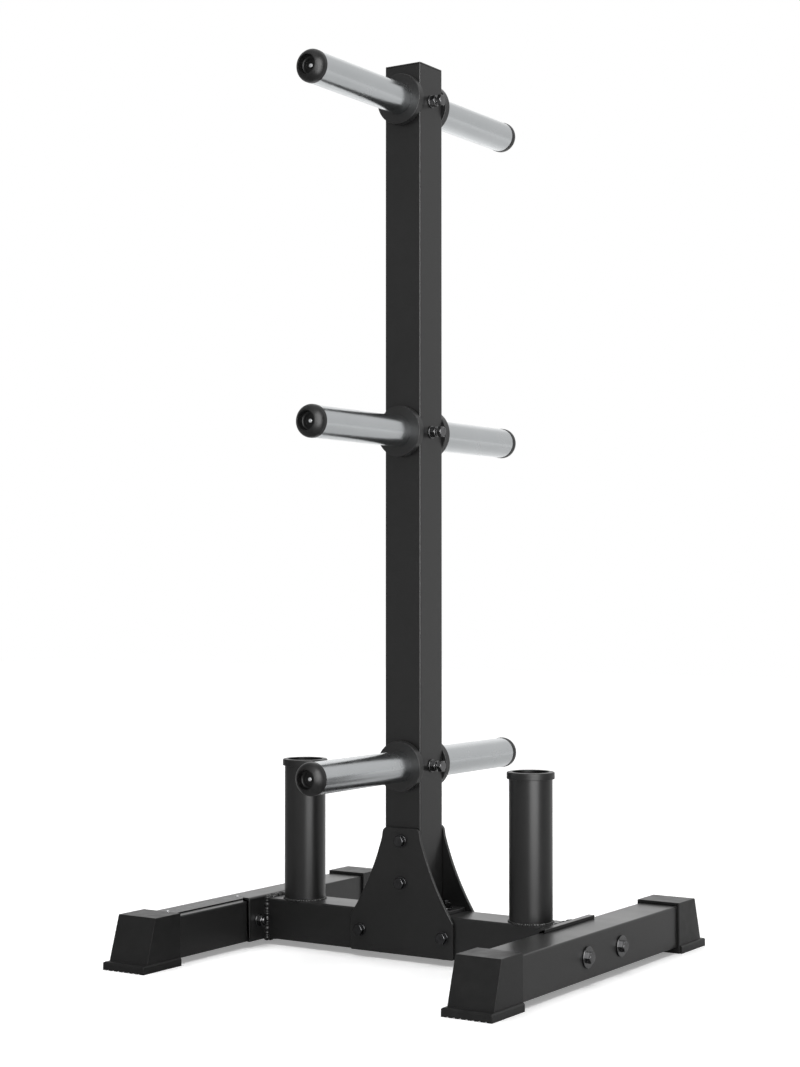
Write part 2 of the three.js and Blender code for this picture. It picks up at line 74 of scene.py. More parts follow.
def rounded(corners, radii, steps=4, rest=0.3):
    """Points and outward normals of a closed outline whose corners become arcs that touch both sides.

    An arc's centre lies r / sin(half) from its corner along a + b, where a and b point to the neighbours
    and half is half the angle between them. A point rest beyond each end of the arc keeps the sides flat.
    """
    corners = np.asarray(corners, float)
    radii = np.broadcast_to(radii, corners.shape[:-1])[..., None]
    back = unit(np.roll(corners, 1, -2) - corners)
    ahead = unit(np.roll(corners, -1, -2) - corners)
    half = np.arccos(np.clip((back * ahead).sum(-1, keepdims=True), -1, 1)) / 2
    reach = radii / np.tan(half)
    centre = corners + unit(back + ahead) * radii / np.sin(half)
    start = ((corners + back * reach - centre) / radii)[..., None, :]
    end = ((corners + ahead * reach - centre) / radii)[..., None, :]
    turn = (np.pi - 2 * half)[..., None, :]
    part = np.linspace(0, 1, steps + 1)[:, None]
    arc = (np.sin((1 - part) * turn) * start + np.sin(part * turn) * end) / np.sin(turn)
    before = (corners + back * (reach + rest))[..., None, :]
    after = (corners + ahead * (reach + rest))[..., None, :]
    curve = centre[..., None, :] + arc * radii[..., None, :]
    points = np.concatenate([before, curve, after], -2)
    hollow = np.sign(back[..., 1] * ahead[..., 0] - back[..., 0] * ahead[..., 1])[..., None, None]
    normals = np.concatenate([start, arc, end], -2) * hollow
    shape = corners.shape[:-2] + (-1, 2)
    return points.reshape(shape), normals.reshape(shape)


def bent(corners, radii, steps=4, rest=0.3):
    """An open line with normals: its inner corners are rounded as in an outline, and its two ends stay."""
    corners = np.asarray(corners, float)
    inner = np.concatenate([[1], np.broadcast_to(radii, len(corners) - 2), [1]])
    points, normals = rounded(corners, inner, steps, rest)
    kept = slice(steps + 3, -steps - 3)
    points = np.concatenate([corners[:1], points[kept], corners[-1:]])
    normals = normals[kept]
    return points, np.concatenate([normals[:1], normals, normals[-1:]])


def rectangle(width, height, radius, steps=6, rest=0.4, centre=(0, 0)):
    """A rounded rectangle about a centre."""
    signs = np.array([(1, -1), (1, 1), (-1, 1), (-1, -1)])
    return rounded(signs * (width / 2, height / 2) + centre, radius, steps, rest)


def circle(count=80):
    """A point with as many directions as asked for, all the way round."""
    angle = np.linspace(0, 2 * np.pi, count, endpoint=False)
    return np.zeros((count, 2)), np.stack([np.cos(angle), np.sin(angle)], -1)


def even(outline, spacing):
    """The same closed outline with points at even steps of length, for what repeats along it."""
    points, normals = (np.concatenate([part, part[:1]]) for part in outline)
    along = np.concatenate([[0], np.cumsum(np.linalg.norm(np.diff(points, axis=0), axis=-1))])
    at = np.linspace(0, along[-1], int(along[-1] / spacing), endpoint=False)

    def resampled(values):
        return np.stack([np.interp(at, along, column) for column in values.T], -1)

    return resampled(points), unit(resampled(normals))


# Skins
def signed(axis, way):
    """The name of an axis with the sign of a number."""
    return ("+" if way > 0 else "-") + axis


def lifted(flat, height):
    """Flat points with their heights as a third number."""
    return np.concatenate([flat, np.broadcast_to(height, flat.shape[:-1] + (1,))], -1)


def pushed(outline, profile):
    """Row i, column j: outline point j pushed out along its normal by profile i's offset, at i's height."""
    points, normals = outline
    profile = np.asarray(profile, float)[:, None]
    return lifted(points + normals * profile[..., :1], profile[..., 1:])


def placed(points, axis, origin):
    """Points (across, across, along) laid with their last number along a signed axis from an origin."""
    order = {"x": [1, 2, 0], "y": [0, 2, 1], "z": [0, 1, 2]}[axis[1]]
    result = np.empty_like(points)
    result[..., order] = points * (1, 1, -1 if axis[0] == "-" else 1)
    return result + origin


def skin(rows, ring=False):
    """A closed skin over a grid of points, whose columns close on themselves.

    The last row joins the first where ring is set, and otherwise a flat face closes each end. The faces
    look outwards: they are turned round where the volume, the sum of a . (b x c) / 6, is negative.
    """
    count, around = rows.shape[:2]
    row = np.arange(count if ring else count - 1)[:, None]
    column = np.arange(around)[None]
    this, above = row * around, (row + 1) % count * around
    beside = (column + 1) % around
    quads = np.stack([this + column, this + beside, above + beside, above + column], -1).reshape(-1, 4)
    ends = np.empty((0, around), int)
    if not ring:
        ends = np.stack([np.arange(around)[::-1], np.arange(around) + (count - 1) * around])
    fans = np.stack([np.broadcast_to(ends[:, :1], ends[:, 2:].shape), ends[:, 1:-1], ends[:, 2:]], -1)
    triangles = np.concatenate([quads[:, [0, 1, 2]], quads[:, [0, 2, 3]], fans.reshape(-1, 3)])
    points = rows.reshape(-1, 3)
    a, b, c = (points[triangles[:, i]] for i in range(3))
    if (a * np.cross(b, c)).sum() < 0:
        quads, ends = quads[:, ::-1], ends[:, ::-1]
    return points, quads, ends


def carry(outline, profile, axis="+z", origin=(0, 0, 0), ring=False):
    """The skin of an outline pushed out along a profile, laid along an axis."""
    return skin(placed(pushed(outline, profile), axis, origin), ring)


def ring_profile(inner, outer, low, high, edge, steps=3):
    """The section of a wall between two offsets and two heights, with rounded edges."""
    return rounded([(inner, low), (outer, low), (outer, high), (inner, high)], edge, steps, edge / 2)[0]


def slab_profile(thickness, edge, steps=3):
    """The edge of a plate, rounded above and below, with a point on each flat beside it."""
    deep = -2 * edge
    corners = [(deep, 0), (0, 0), (0, thickness), (deep, thickness)]
    return bent(corners, edge, steps, edge / 2)[0]


class Span:
    """The room that a node takes up: its lowest and highest corners, its middle and its size."""

    def __init__(self, node):
        low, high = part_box(node)
        self.low, self.high = np.array(low) / METRES, np.array(high) / METRES
        self.middle = (self.low + self.high) / 2
        self.size = self.high - self.low

    def reach(self, axis):
        """Its nearest and farthest distance from the origin along an axis, 0 to 2."""
        return sorted(np.abs([self.low[axis], self.high[axis]]))


def piece(name, finish, skins, nodes=()):
    """An object made of closed skins, in place. It stands for the named nodes."""
    starts = np.cumsum([0] + [len(points) for points, _, _ in skins])
    faces = []
    for start, (_, quads, ends) in zip(starts, skins):
        faces += (quads + start).tolist() + (ends + start).tolist()
    mesh = bpy.data.meshes.new(name)
    mesh.from_pydata((np.concatenate([points for points, _, _ in skins]) * METRES).tolist(), [], faces)
    mesh.shade_smooth()
    mesh.set_sharp_from_angle(angle=SMOOTH_ANGLE)
    mesh.materials.append(finish)
    made = bpy.data.objects.new(name, mesh)
    bpy.context.scene.collection.objects.link(made)
    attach(made, "root")
    if nodes:
        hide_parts(*nodes)


# Finishes
class Wire:
    """An output socket. Arithmetic on it adds Math nodes."""

    def __init__(self, finish, socket):
        self.finish = finish
        self.socket = socket

    def maths(self, operation, *values):
        """A Math node on the given values."""
        return self.finish.node("Math", {"operation": operation}, dict(enumerate(values)))

    def __add__(self, other):
        return self.maths("ADD", self, other)

    def __sub__(self, other):
        return self.maths("SUBTRACT", self, other)

    def __rsub__(self, other):
        return self.maths("SUBTRACT", other, self)

    def __mul__(self, other):
        return self.maths("MULTIPLY", self, other)

    __radd__ = __add__
    __rmul__ = __mul__


class Finish:
    """The node tree of a material or of the world."""

    def __init__(self, owner):
        self.owner = owner
        owner.use_nodes = True
        self.tree = owner.node_tree
        self.tree.nodes.clear()

    def node(self, kind, settings=None, inputs=None, output=0):
        """A node of a kind, with its settings first and then the values or links of its sockets."""
        made = self.tree.nodes.new("ShaderNode" + kind)
        for key, value in (settings or {}).items():
            if key == "stops":
                ramp = made.color_ramp
                ramp.interpolation = "CARDINAL"
                while len(ramp.elements) < len(value):
                    ramp.elements.new(1)
                for element, (place, level) in zip(ramp.elements, value):
                    element.position = place
                    element.color = (level, level, level, 1)
            else:
                setattr(made, key, value)
        for key, value in (inputs or {}).items():
            if isinstance(value, Wire):
                self.tree.links.new(value.socket, made.inputs[key])
            else:
                made.inputs[key].default_value = value
        return Wire(self, made.outputs[output]) if made.outputs else None

    def noise(self, scale, stretch=(1, 1, 1), detail=2.0, roughness=0.5):
        """Noise from 0 to 1 with so many grains to a metre, stretched along the piece's axes."""
        place = self.node("TexCoord", output="Object")
        place = self.node("Mapping", {}, {"Vector": place, "Scale": stretch})
        inputs = {"Vector": place, "Scale": scale, "Detail": detail, "Roughness": roughness}
        return self.node("TexNoise", {}, inputs)

    def spread(self, value, low, high):
        """The middle of a noise, opened out to run from low to high."""
        inputs = {"Value": value, "From Min": 0.3, "From Max": 0.7, "To Min": low, "To Max": high}
        return self.node("MapRange", {}, inputs)

    def blend(self, factor, first, second):
        """A colour between two colours."""
        settings = {"data_type": "RGBA"}
        return self.node("Mix", settings, {0: factor, 6: (*first, 1), 7: (*second, 1)}, output=2)

    def bump(self, height, depth, under=None):
        """A normal pushed by a height of so many millimetres, over another bump where one is given."""
        inputs = {"Height": height, "Distance": depth * METRES, "Strength": 1.0}
        if under:
            inputs["Normal"] = under
        return self.node("Bump", {}, inputs)

    def surface(self, **sockets):
        """A principled shader with the named sockets, put out as the surface."""
        names = {key.replace("_", " "): value for key, value in sockets.items()}
        shader = self.node("BsdfPrincipled", {}, names)
        self.node("OutputMaterial", {}, {"Surface": shader})
        return self.owner


def finish(name):
    """An empty material of a name."""
    return Finish(bpy.data.materials.new(name))


def grey(level):
    """A neutral colour."""
    return (level, level, level)


def powder_coat(name, dark, light, roughness):
    """Powder coat: an orange peel of about 2 mm with finer grain on it, and gloss that varies a little."""
    coat = finish(name)
    peel = coat.noise(480, detail=1.5)
    grain = coat.noise(2600, detail=1)
    cloud = coat.noise(14, detail=3)
    relief = coat.bump(grain, 0.005, under=coat.bump(peel, 0.02))
    return coat.surface(
        Base_Color=coat.blend(cloud, dark, light),
        Roughness=coat.spread(cloud, roughness - 0.03, roughness + 0.03),
        IOR=1.45,
        Normal=relief,
    )


def chrome_plate():
    """Chrome on drawn tube: faint lines along Y, pits in the steel under it, haze and gentle waves."""
    plate = finish("chrome_plate")
    lines = plate.noise(1, stretch=(700, 12, 700), detail=2)
    pits = plate.noise(300, detail=3, roughness=0.6)
    haze = plate.noise(22, detail=4)
    waves = plate.noise(9, detail=1)
    relief = plate.bump(pits, 0.018, under=plate.bump(lines, 0.004, under=plate.bump(waves, 0.15)))
    return plate.surface(
        Base_Color=plate.blend(haze, (0.5, 0.52, 0.53), (0.56, 0.575, 0.585)),
        Metallic=1.0,
        Roughness=plate.spread(haze, 0.2, 0.27) + lines * 0.02,
        Normal=relief,
    )


def moulded(name, dark, light, roughness, grain, depth, gloss=0.5):
    """Moulded plastic or rubber: a fine spark-eroded grain, and a bloom that lightens it in patches."""
    body = finish(name)
    bloom = body.noise(60, detail=4)
    pits = body.noise(grain, detail=3, roughness=0.6)
    return body.surface(
        Base_Color=body.blend(body.spread(bloom, 0, 1), dark, light),
        Roughness=body.spread(bloom, roughness - 0.05, roughness + 0.05),
        IOR=1.45,
        Specular_IOR_Level=gloss,
        Normal=body.bump(pits, depth),
    )


def metal(name, dark, light, metallic, roughness, grain, depth, stretch=(1, 1, 1)):
    """Bare or treated metal: mottled in colour and gloss, with a fine grain."""
    body = finish(name)
    mottle = body.noise(180, detail=4)
    lines = body.noise(grain, stretch=stretch, detail=2)
    return body.surface(
        Base_Color=body.blend(body.spread(mottle, 0, 1), dark, light),
        Metallic=metallic,
        Roughness=body.spread(mottle, roughness - 0.05, roughness + 0.05),
        Normal=body.bump(lines, depth),
    )


paint = powder_coat("frame_powder_coat", grey(0.018), grey(0.023), 0.32)
collar_paint = powder_coat("collar_enamel", grey(0.023), grey(0.029), 0.37)
weld_paint = powder_coat("painted_weld", grey(0.02), grey(0.03), 0.25)
chrome = chrome_plate()
cap_plastic = moulded("cap_plastic", grey(0.012), grey(0.017), 0.38, 2200, 0.004, 0.4)
plug_plastic = moulded("plug_plastic", grey(0.018), grey(0.023), 0.36, 2200, 0.01)
rim_plastic = moulded("rim_plastic", grey(0.012), grey(0.017), 0.38, 2200, 0.01)
boot_rubber = moulded("boot_rubber", grey(0.01), grey(0.014), 0.42, 1500, 0.015, 0.4)
black_oxide = metal("black_oxide", (0.06, 0.06, 0.062), (0.09, 0.09, 0.093), 1.0, 0.16, 1800, 0.004)
# A lighter copy of the black oxide, painted lit: the bolts that lie along X face the brighter sides
black_oxide_painted_lit = metal("black_oxide_painted_lit", (0.11, 0.11, 0.112), (0.16, 0.16, 0.162), 1.0, 0.22, 1800, 0.004)
bright_zinc = metal("bright_zinc", (0.75, 0.76, 0.77), (0.85, 0.86, 0.87), 1.0, 0.14, 2000, 0.004)
plate_metal = metal(
    "satin_plate", (0.03, 0.03, 0.031), (0.045, 0.045, 0.046), 0.6, 0.35, 60, 0.01, stretch=(40, 1, 40)
)
core_steel = metal(
    "turned_steel", (0.35, 0.35, 0.36), (0.5, 0.5, 0.51), 1.0, 0.35, 40, 0.02, stretch=(1, 60, 1)
)


# Square tubes and plates
TUBE_SIDE = Span("crossbar_tube").size[1]
TUBE_WALL = 3
TUBE_CORNER = 2.4
TUBE_INNER_CORNER = 1
TUBE_EDGE = 0.5
PLUG_EDGE = 0.4
PLUG_WALL = 2.5
PLUG_CORNER = 3
FIT = 0.3
BEAD = 2.4
BEAD_PITCH = 4
BEAD_SINK = 0.3
BEAD_SIDES = 14
CROSSBAR_BEAD = 4.8
CROSSBAR_BEAD_PITCH = 5.5
FOOT_PLATE_CORNER = 6
FOOT_PLATE_EDGE = 0.7
UPRIGHT_BEAD_TUCK = 5
UPRIGHT_BEAD_CORNER = 4


def square(side, corner, across=(0, 0)):
    """A rounded square about a centre."""
    return rectangle(side, side, corner, 6, 0.4, across)


def square_tube(axis, start, end, across=(0, 0)):
    """A tube as a ring: each point of its wall's section lies part of the way from outside to inside."""
    outside, _ = square(TUBE_SIDE, TUBE_CORNER, across)
    inside, _ = square(TUBE_SIDE - 2 * TUBE_WALL, TUBE_INNER_CORNER, across)
    depth, along = ring_profile(0, TUBE_WALL, start, end, TUBE_EDGE).T[..., None, None]
    flat = outside + (inside - outside) * depth / TUBE_WALL
    return skin(placed(lifted(flat, along), axis, (0, 0, 0)), ring=True)


def weld(outline, axis, origin, radius=BEAD, pitch=BEAD_PITCH):
    """A bead in the corner between a wall and its base.

    Its section is a circle about the corner, whose radius swells along the outline's length s as
    r * (0.8 + 0.3 * |sin(pi * s / pitch + sin(s / 3))| + 0.1 * sin(s / 2)), the torch's uneven ripples.
    """
    points, normals = even(outline, pitch / 10)
    along = np.arange(len(points)) * pitch / 10
    ripple = 0.3 * np.abs(np.sin(np.pi * along / pitch + np.sin(along / 3))) + 0.1 * np.sin(along / 2)
    swell = radius * (0.8 + ripple)
    angle = np.linspace(0, 2 * np.pi, BEAD_SIDES, endpoint=False)[:, None, None]
    flat = points + normals * (swell[:, None] * np.cos(angle) - BEAD_SINK)
    return skin(placed(lifted(flat, swell[:, None] * np.sin(angle)), axis, origin), ring=True)


def flank_outline(foot, neck, height, top_radius, flank_radius):
    """A gusset's outline. Its flanks are hollow arcs from the foot's corner to the neck's.

    Each arc's centre lies outside the plate on the chord's middle normal, at sqrt(R^2 - (chord / 2)^2).
    """
    foot, neck = np.array(foot, float), np.array(neck, float)
    chord = neck - foot
    away = unit(np.array([chord[1], -chord[0]]))
    centre = (foot + neck) / 2 + away * math.sqrt(flank_radius**2 - (chord @ chord) / 4)
    first, last = (math.atan2(*(point - centre)[::-1]) for point in (foot, neck))
    first %= 2 * math.pi
    last %= 2 * math.pi
    angle = np.linspace(first, last, 40)[1:-1]
    toward = np.stack([np.cos(angle), np.sin(angle)], -1)
    flank = centre + flank_radius * toward
    lower, lower_out = bent([(0, 0), (foot[0], 0), foot, flank[0]], [2, 3], 4, 0.3)
    keep = flank[:, 1] > lower[-2, 1] + 0.3
    keep &= flank[:, 1] < height - top_radius - 0.6
    upper, upper_out = bent([flank[keep][-1], (neck[0], height), (0, height)], top_radius, 8, 0.3)
    points = np.concatenate([lower[1:-1], flank[keep][:-1], upper[1:-1]])
    normals = np.concatenate([lower_out[1:-1], -toward[keep][:-1], upper_out[1:-1]])
    mirror = np.array([-1, 1])
    return np.concatenate([points, points[::-1] * mirror]), np.concatenate([normals, normals[::-1] * mirror])


upright = Span("upright_tube")
skins = [square_tube("+z", upright.low[2], upright.high[2])]
piece("upright_finished", paint, skins, ["upright_tube"])

plug = Span("upright_top_plug")
plug_seat = upright.high[2] + SEAT
plug_head = slab_profile(plug.high[2] - plug_seat, PLUG_EDGE)
plug_skirt = ring_profile(-PLUG_WALL, 0, plug.low[2], plug_seat + 0.5, 0.3)
skins = [
    carry(square(TUBE_SIDE, TUBE_CORNER), plug_head, "+z", (0, 0, plug_seat)),
    carry(square(TUBE_SIDE - 2 * (TUBE_WALL + FIT), PLUG_CORNER), plug_skirt, ring=True),
]
piece("top_plug_finished", plug_plastic, skins, ["upright_top_plug"])

crossbar = Span("crossbar_tube")
crossbar_axis = crossbar.middle[2]
crossbar_top = crossbar.high[2]
skins = [square_tube("+x", crossbar.low[0], crossbar.high[0], (0, crossbar_axis))]
piece("crossbar_finished", paint, skins, ["crossbar_tube"])

foot_plate = Span("upright_foot_plate")
outline = rectangle(*foot_plate.size[:2], FOOT_PLATE_CORNER)
skins = [carry(outline, slab_profile(foot_plate.size[2], FOOT_PLATE_EDGE), "+z", (0, 0, foot_plate.low[2]))]
piece("foot_plate_finished", paint, skins, ["upright_foot_plate"])
# The upright's bead shows on its two open sides and is drawn in under the gussets
outline = rectangle(TUBE_SIDE, TUBE_SIDE - 2 * UPRIGHT_BEAD_TUCK, UPRIGHT_BEAD_CORNER)
piece("upright_weld", weld_paint, [weld(outline, "+z", (0, 0, foot_plate.high[2]))])

GUSSET_FOOT = 55.5
GUSSET_TOP_CORNER = 9
GUSSET_FLANK = 430
GUSSET_NECK = 33.6
GUSSET_SPREAD = 0.6
PLATE_EDGE = 0.9
for end in ENDS:
    gusset = Span("gusset_plate_" + end)
    width, thickness, height = gusset.size
    neck = (GUSSET_NECK, height - GUSSET_TOP_CORNER)
    foot = (width / 2 + GUSSET_SPREAD, GUSSET_FOOT)
    outline = flank_outline(foot, neck, height, GUSSET_TOP_CORNER, GUSSET_FLANK)
    skins = [carry(outline, slab_profile(thickness, PLATE_EDGE), "+y", (0, gusset.low[1], gusset.low[2]))]
    piece(f"gusset_{end}_finished", paint, skins, ["gusset_plate_" + end])


# Fasteners
BOLT_RADIUS = 5
HEX_ACROSS = 16
HEAD = 6.5
NUT = 8.5
THREAD_PITCH = 1.5
THREAD_DEPTH = 0.8
THREAD_END = 3
WASHER = (20, 2)
WIDE_WASHER = (32, 2.5)
NO_WASHER = (0, 0)
WASHER_EDGE = 0.8
CLAMP_HEAD_REACH = 21.5


def turned(profile, axis, origin, count=80, ring=False):
    """A profile of radius and height turned about an axis."""
    return carry(circle(count), profile, axis, origin, ring)


def hexagon(axis, origin, start, end, both=False):
    """A hexagon head or nut: at each height its edge is the lesser of the hexagon and a chamfer cone.

    The cone leaves the end face at 0.97 of the flats' radius and widens by 1.6 for each unit of depth.
    The seat of a head has no such cone, and both ends of a nut do.
    """
    angle = np.arange(6) * math.pi / 3
    flats = HEX_ACROSS / 2
    corners = np.stack([np.cos(angle), np.sin(angle)], -1) * flats / math.cos(math.pi / 6)
    points, _ = even(rounded(corners, 0.5, 3, 0.3), 0.5)
    radius = np.linalg.norm(points, axis=-1)
    share = np.linspace(0, 1, 6)
    cone = np.concatenate([flats * np.array([0.7, 0.95]), flats * (0.97 + 0.22 * share)])
    depth = np.concatenate([[0, 0], 0.15 + 1.1 * share])
    seat_cone, seat_depth = cone, depth
    if not both:
        seat_cone, seat_depth = flats * np.array([0.7, 0.96, 2]), np.array([0, 0, 0.1])
    size = np.minimum(radius, np.concatenate([seat_cone, cone[::-1]])[:, None])
    height = np.concatenate([start + seat_depth, (end - depth)[::-1]])[:, None, None]
    return skin(placed(lifted(points * (size / radius)[..., None], height), axis, origin))


def thread(axis, origin, start, end, count=32):
    """A threaded end: radius = R - depth * (1 - |2 t - 1|), with t the turn's part of height / pitch - angle.

    Near the tip the radius is held down to a cone.
    """
    _, around = circle(count)
    height = np.arange(start, end, THREAD_PITCH / 6)[:, None]
    turn = (height / THREAD_PITCH - np.arange(count) / count) % 1
    radius = BOLT_RADIUS - THREAD_DEPTH * (1 - np.abs(2 * turn - 1))
    radius = np.minimum(radius, BOLT_RADIUS - 1 + (end - height))[..., None]
    return skin(placed(lifted(around * radius, height[..., None]), axis, origin))


def washer(axis, origin, start, end, diameter):
    """A flat ring with rounded edges."""
    profile = ring_profile(BOLT_RADIUS + 0.4, diameter / 2, start, end, WASHER_EDGE, 4)
    return turned(profile, axis, origin, 64, ring=True)


def shank(axis, origin, start, end):
    """The plain part of a bolt."""
    side = BOLT_RADIUS - 0.1
    return turned(bent([(1, start), (side, start), (side, end), (1, end)], 0.3, 2, 0.2)[0], axis, origin, 40)


def through_bolt(axis, origin, head_face, thread_tip, head_washer, nut_washer):
    """A bolt on an axis, from its head's face down to the tip of the thread that stands out of its nut."""
    nut_face = thread_tip + THREAD_END
    head_base = head_face - HEAD
    nut_base = nut_face + NUT
    skins = [
        hexagon(axis, origin, head_base, head_face),
        shank(axis, origin, nut_base - 1, head_face - 1),
        hexagon(axis, origin, nut_face, nut_base, both=True),
        thread(axis, origin, thread_tip, nut_base),
    ]
    wide, thick = head_washer
    if wide:
        skins.append(washer(axis, origin, head_base - thick, head_base, wide))
    wide, thick = nut_washer
    skins.append(washer(axis, origin, nut_base, nut_base + thick, wide))
    return skins


for name in ("upper", "lower", "left", "right"):
    node = "gusset_bolt_" + name
    bolt = Span(node)
    skins = through_bolt("-y", bolt.middle * (1, 0, 1), -bolt.low[1], -bolt.high[1], WASHER, WASHER)
    piece(node + "_finished", black_oxide, skins, [node])

for side, sign in SIDES.items():
    node = "foot_plate_bolt_" + side
    bolt = Span(node)
    skins = through_bolt("-z", bolt.middle * (1, 0, 0), -bolt.low[2], -bolt.high[2], NO_WASHER, WASHER)
    piece(node + "_finished", black_oxide, skins, [node])
    for end in ENDS:
        node = f"foot_bolt_{side}_{end}"
        bolt = Span(node)
        tip, head = bolt.reach(0)
        skins = through_bolt(signed("x", sign), bolt.middle * (0, 1, 1), head, tip, WIDE_WASHER, WASHER)
        # These bolts take the painted-lit copy of the black oxide
        piece(node + "_finished", black_oxide_painted_lit, skins, [node])

for level in LEVELS:
    node = "clamp_bolt_" + level
    bolt = Span(node)
    middle = bolt.middle * (0, 0, 1)
    tip = bolt.reach(0)[0]
    face = TUBE_SIDE / 2 + SEAT
    head = face + CLAMP_HEAD_REACH
    wide, thick = WASHER
    skins = [
        hexagon("+x", middle, head - HEAD, head),
        shank("+x", middle, tip, face),
        thread("+x", middle, face - 1, head - HEAD + 0.5),
        washer("+x", middle, face, face + thick, wide),
        hexagon("+x", middle, face + thick, face + thick + NUT, both=True),
    ]
    # The clamp bolts take the painted-lit copy of the black oxide
    piece(node + "_finished", black_oxide_painted_lit, skins, [node])


# Feet
BOOT_GRIP = 45.3
BOOT_HEIGHT = 79.6
BOOT_TOP_LENGTH = 59
BOOT_LENGTH = 79.5
BOOT_HEEL = 12
BOOT_DRAFT = 0.4
BOOT_EDGE = 1.1
BOOT_CORNER = 0.8
BOOT_MOUTH = 250
BOOT_POCKET_FLOOR = 4
SKIRT_SIDE = 3.2
SKIRT_REACH = 11.5
SKIRT_SETBACK = 2
SKIRT_HEIGHT = 12.5
SKIRT_EDGE = 3.5
SKIRT_CORNER = 0.8
SKIRT_ROOT_SIDE = 5
SKIRT_ROOT_TOE = 4
TREAD_DEPTH = 1.5
TREAD_PITCH = 10
TREAD_GAP = 4
TREAD_MARGIN = 8
TREAD_SHARE = 0.58


def boot(x, mouth, axis, box):
    """A moulded boot: a pocket, the mouth's rim and an outer form in one skin, then the skirt.

    Rows run from the pocket's end to the mouth and back over the outside to the toe. A row is an upright
    rounded rectangle. The outside's height follows a bent line: level, then down the slope of the toe,
    and its width draws in at the toe by r - sqrt(r^2 - (w - toe + r)^2), with w the way from the mouth.
    """
    half_base = box.size[0] / 2 - SKIRT_SIDE
    pocket = square(TUBE_SIDE + 2 * FIT, TUBE_CORNER, (0, crossbar_axis))
    lining = bent([(-BOOT_POCKET_FLOOR, BOOT_GRIP), (0, BOOT_GRIP), (0, 0), (1, 0)], [1, 0.5], 3, 0.3)[0]

    top, toe = BOOT_HEIGHT, BOOT_LENGTH
    corners = [(0, top), (BOOT_TOP_LENGTH, top), (toe, BOOT_HEEL), (toe, 0)]
    station, height = bent(corners, BOOT_EDGE, 5, 0.3)[0][:-1].T
    dense = np.sort(np.concatenate([station, toe - BOOT_EDGE * np.linspace(0.1, 0.95, 5)]))
    height = np.interp(dense, station, height)
    near = np.maximum(dense - toe + BOOT_EDGE, 0)
    draw = BOOT_EDGE - np.sqrt(np.maximum(BOOT_EDGE**2 - near**2, 0))
    low_half = half_base - draw
    high_half = low_half - BOOT_DRAFT * np.clip((height - BOOT_HEEL) / (top - BOOT_HEEL), 0, 1)
    zero = np.zeros_like(height)
    corners = [(low_half, zero), (high_half, height), (-high_half, height), (-low_half, zero)]
    outer, outer_out = rounded(np.moveaxis(np.array(corners), -1, 0), BOOT_CORNER, 6, 0.4)
    rim = bent([(-2, 0), (0, 0), (0, 2)], 1, 4, 0.3)[0][:-1]
    body = lifted(outer, dense[:, None, None])
    shape = np.concatenate([pushed(pocket, lining), pushed((outer[0], outer_out[0]), rim), body[1:]])
    return [skin(placed(shape, axis, (x, mouth, 0))), boot_skirt(x, mouth, axis, box.size[0] / 2)]


def boot_skirt(x, mouth, axis, half):
    """The skirt: a section carried along a U from the heel round the toe, its upper edge a quarter circle.

    An inset edge is the outer one held that far inside, and the inner edge lies in the boot's walls.
    Across the toe the underside rises in grooves, where cos(2 pi x / pitch) passes cos(pi gap / pitch).
    Behind the tread the underside rises into the boot, whose own sole goes on from there.
    """
    reach = BOOT_LENGTH + SKIRT_REACH
    corners = [(-half, SKIRT_SETBACK), (-half, reach), (half, reach), (half, SKIRT_SETBACK)]
    path = bent(corners, SKIRT_CORNER, 5, 0.5)[0]
    # Close points along the toe, to draw the grooves
    toe_x = np.linspace(4 - half, half - 4, 132)
    path = np.insert(path, len(path) // 2, np.stack([toe_x, np.full_like(toe_x, reach)], -1), 0)

    def held(inset_side, inset_toe):
        return np.clip(path, (inset_side - half, 0), (half - inset_side, reach - inset_toe))

    inner = held(SKIRT_ROOT_SIDE, SKIRT_REACH + SKIRT_ROOT_TOE)
    tread = path + (inner - path) * TREAD_SHARE
    wave = np.cos(2 * math.pi * path[:, 0] / TREAD_PITCH) - math.cos(math.pi * TREAD_GAP / TREAD_PITCH)
    groove = np.clip(wave / 0.3 + 0.5, 0, 1)
    groove *= (path[:, 1] > reach - 0.01) & (np.abs(path[:, 0]) < half - TREAD_MARGIN)
    bottom = TREAD_DEPTH * groove
    flat = 0 * bottom
    turn = np.linspace(0, math.pi / 2, 7)
    insets, drops = SKIRT_EDGE * (1 - np.cos(turn)), SKIRT_EDGE * (1 - np.sin(turn))
    bevel = [(held(inset, inset), flat + SKIRT_HEIGHT - drop) for inset, drop in zip(insets, drops)]
    shoulder = SKIRT_EDGE + 0.6
    section = [(path, bottom)] + bevel + [
        (held(shoulder, shoulder), flat + SKIRT_HEIGHT), (inner, flat + SKIRT_HEIGHT),
        (inner, flat + TREAD_DEPTH), (tread, flat), (tread, bottom),
    ]
    rows = np.stack([np.concatenate([spots, z[:, None]], -1) for spots, z in section], 1)
    return skin(placed(rows[..., [0, 2, 1]], axis, (x, mouth, 0)))


END_PLATE = 5
END_PLATE_BEND = 5
END_PLATE_INNER_BEND = 1.5


def end_plate(box, sign):
    """An angle bent from plate, a section in X and Z carried along Y: a leg by the foot, a lip over it."""
    near, far = box.reach(0)
    base, top = box.low[2], box.high[2]
    leg, lip = near + END_PLATE, top - END_PLATE
    corners = [(near, base), (leg, base), (leg, lip), (far, lip), (far, top), (near, top)]
    radii = [0.5, 0.5, END_PLATE_INNER_BEND, 0.5, 0.5, END_PLATE_BEND]
    section = [part * (sign, 1) for part in rounded(corners, radii, 6, 0.3)]
    return carry(section, slab_profile(box.size[1], PLATE_EDGE), "+y", (0, box.low[1], 0))


